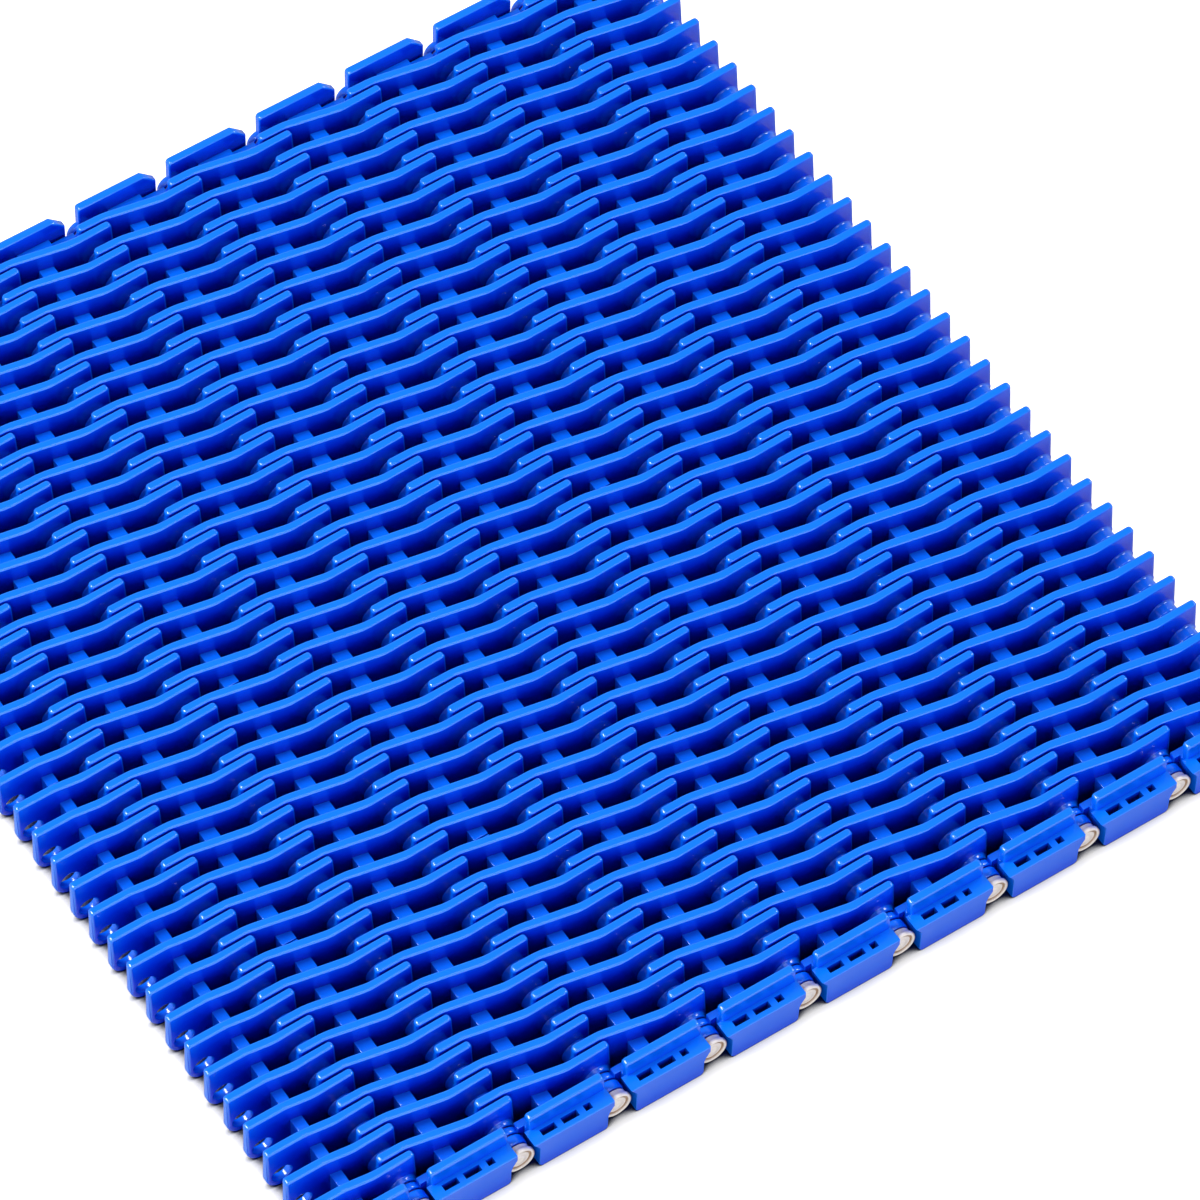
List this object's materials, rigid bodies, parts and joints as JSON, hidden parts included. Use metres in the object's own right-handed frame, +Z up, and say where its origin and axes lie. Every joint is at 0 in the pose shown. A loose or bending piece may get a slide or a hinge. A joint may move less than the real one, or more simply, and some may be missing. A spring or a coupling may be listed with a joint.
{
  "type": "modular plastic conveyor belt",
  "caption": "Modular plastic conveyor belt section: hinged rows of S-shaped ribs on headed rods, guide blocks along one edge and plain plates along the other.",
  "frame": {"origin": "centre of the belt's footprint on the running face", "axes": "+X along the running direction, +Y along the hinge rods to the edge without guide blocks, +Z up out of the carrying face"},
  "size_m": [0.2568, 0.2764, 0.0145],
  "materials": {
    "belt_plastic": "moulded satin-gloss blue acetal",
    "rod_plastic": "natural cream plastic, satin"
  },
  "bodies": {
    "row_01": {"row_01_near_module": "belt_plastic", "row_01_far_module": "belt_plastic", "rod_01": "rod_plastic"},
    "row_02": {"row_02_near_module": "belt_plastic", "row_02_centre_module": "belt_plastic", "row_02_far_module": "belt_plastic", "rod_02": "rod_plastic"},
    "row_03": {"row_03_near_module": "belt_plastic", "row_03_far_module": "belt_plastic", "rod_03": "rod_plastic"},
    "row_04": {"row_04_near_module": "belt_plastic", "row_04_centre_module": "belt_plastic", "row_04_far_module": "belt_plastic", "rod_04": "rod_plastic"},
    "row_05": {"row_05_near_module": "belt_plastic", "row_05_far_module": "belt_plastic", "rod_05": "rod_plastic"},
    "row_06": {"row_06_near_module": "belt_plastic", "row_06_centre_module": "belt_plastic", "row_06_far_module": "belt_plastic", "rod_06": "rod_plastic"},
    "row_07": {"row_07_near_module": "belt_plastic", "row_07_far_module": "belt_plastic", "rod_07": "rod_plastic"},
    "row_08": {"row_08_near_module": "belt_plastic", "row_08_centre_module": "belt_plastic", "row_08_far_module": "belt_plastic", "rod_08": "rod_plastic"},
    "row_09": {"row_09_near_module": "belt_plastic", "row_09_far_module": "belt_plastic", "rod_09": "rod_plastic"},
    "row_10": {"row_10_near_module": "belt_plastic", "row_10_centre_module": "belt_plastic", "row_10_far_module": "belt_plastic"}
  },
  "joints": [
    {"name": "hinge_01", "type": "hinge", "parent": "row_01", "child": "row_02", "pos_m": [-0.10447, 0, 0.0045], "axis": [0, 1, 0], "range_deg": [-8, 30]},
    {"name": "hinge_02", "type": "hinge", "parent": "row_02", "child": "row_03", "pos_m": [-0.07908, 0, 0.0045], "axis": [0, 1, 0], "range_deg": [-8, 30]},
    {"name": "hinge_03", "type": "hinge", "parent": "row_03", "child": "row_04", "pos_m": [-0.05368, 0, 0.0045], "axis": [0, 1, 0], "range_deg": [-8, 30]},
    {"name": "hinge_04", "type": "hinge", "parent": "row_04", "child": "row_05", "pos_m": [-0.02828, 0, 0.0045], "axis": [0, 1, 0], "range_deg": [-8, 30]},
    {"name": "hinge_05", "type": "hinge", "parent": "row_05", "child": "row_06", "pos_m": [-0.00287, 0, 0.0045], "axis": [0, 1, 0], "range_deg": [-8, 30]},
    {"name": "hinge_06", "type": "hinge", "parent": "row_06", "child": "row_07", "pos_m": [0.02252, 0, 0.0045], "axis": [0, 1, 0], "range_deg": [-8, 30]},
    {"name": "hinge_07", "type": "hinge", "parent": "row_07", "child": "row_08", "pos_m": [0.04793, 0, 0.0045], "axis": [0, 1, 0], "range_deg": [-8, 30]},
    {"name": "hinge_08", "type": "hinge", "parent": "row_08", "child": "row_09", "pos_m": [0.07333, 0, 0.0045], "axis": [0, 1, 0], "range_deg": [-8, 30]},
    {"name": "hinge_09", "type": "hinge", "parent": "row_09", "child": "row_10", "pos_m": [0.09872, 0, 0.0045], "axis": [0, 1, 0], "range_deg": [-8, 30]}
  ]
}
